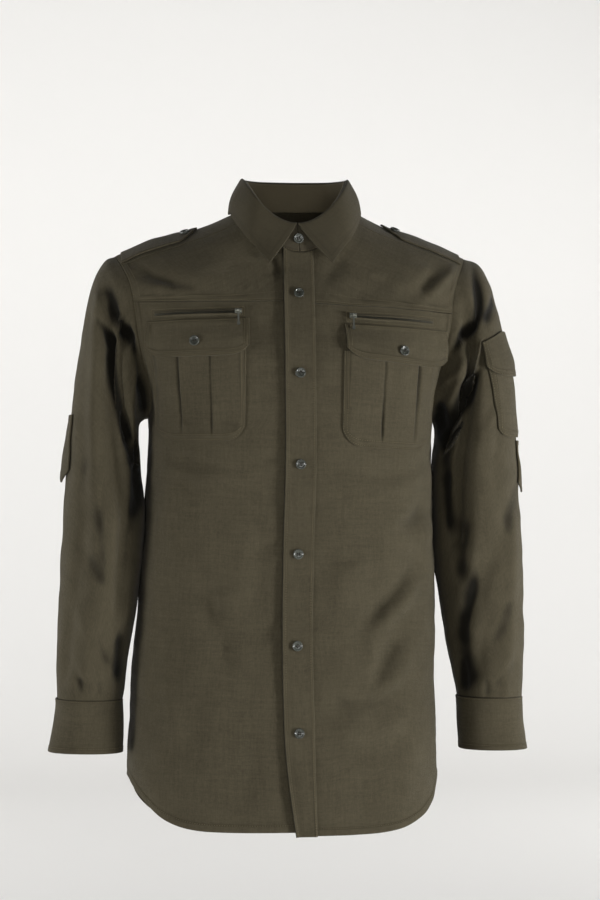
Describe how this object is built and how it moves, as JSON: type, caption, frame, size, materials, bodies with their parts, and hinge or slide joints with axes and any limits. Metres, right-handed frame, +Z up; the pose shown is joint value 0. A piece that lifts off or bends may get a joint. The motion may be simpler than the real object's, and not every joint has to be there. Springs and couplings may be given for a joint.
{
  "type": "long-sleeved safari shirt",
  "caption": "Long-sleeved button-up shirt in olive-brown twill with epaulettes, flap chest pockets, chest zips and an arm pocket, filled out as if worn.",
  "frame": {"origin": "middle of the neck at the height where the shoulders meet the collar, where the shirt would hang from the wearer's shoulders", "axes": "+X to the wearer's left, -Y to the front, +Z up"},
  "size_m": [0.6067, 0.2561, 0.825],
  "materials": {
    "cloth": "fine cotton twill, dark olive brown, matt with a faint sheen",
    "zip_tape": "woven zip tape with fine closed teeth, dark olive",
    "zip_metal": "small cast zip slider and pull, dull silver",
    "button": "four-hole shirt button with a raised rim, dark grey-green, glossy"
  },
  "bodies": {
    "shirt": {"front_right": "cloth", "front_left": "cloth", "back": "cloth", "yoke_front_right": "cloth", "yoke_front_left": "cloth", "back_yoke": "cloth", "sleeve_right": "cloth", "sleeve_left": "cloth", "cuff_right": "cloth", "cuff_left": "cloth", "placket": "cloth", "collar_stand": "cloth", "collar": "cloth", "pocket_right": "cloth", "pocket_left": "cloth", "flap_right": "cloth", "flap_left": "cloth", "epaulette_right": "cloth", "epaulette_left": "cloth", "pocket_sleeve": "cloth", "flap_sleeve": "cloth", "tab_right": "cloth", "tab_left": "cloth", "sleeve_placket_right": "cloth", "sleeve_placket_left": "cloth", "zip_right": "zip_tape", "zip_left": "zip_tape", "slider_right": "zip_metal", "slider_left": "zip_metal", "button_collar": "button", "button_front_1": "button", "button_front_2": "button", "button_front_3": "button", "button_front_4": "button", "button_front_5": "button", "button_front_6": "button", "button_flap_right": "button", "button_flap_left": "button", "button_strap_right": "button", "button_strap_left": "button", "button_cuff_right": "button", "button_cuff_left": "button"},
    "right_pull": {"pull_right": "zip_metal"},
    "left_pull": {"pull_left": "zip_metal"}
  },
  "joints": [
    {"name": "right_pull_swing", "type": "hinge", "parent": "shirt", "child": "right_pull", "pos_m": [-0.07477, -0.10942, -0.13011], "axis": [-0.996, 0.0855, -0.0268], "range_deg": [0, 160]},
    {"name": "left_pull_swing", "type": "hinge", "parent": "shirt", "child": "left_pull", "pos_m": [0.06782, -0.11172, -0.13524], "axis": [-0.9963, -0.067, 0.0536], "range_deg": [0, 160]}
  ]
}
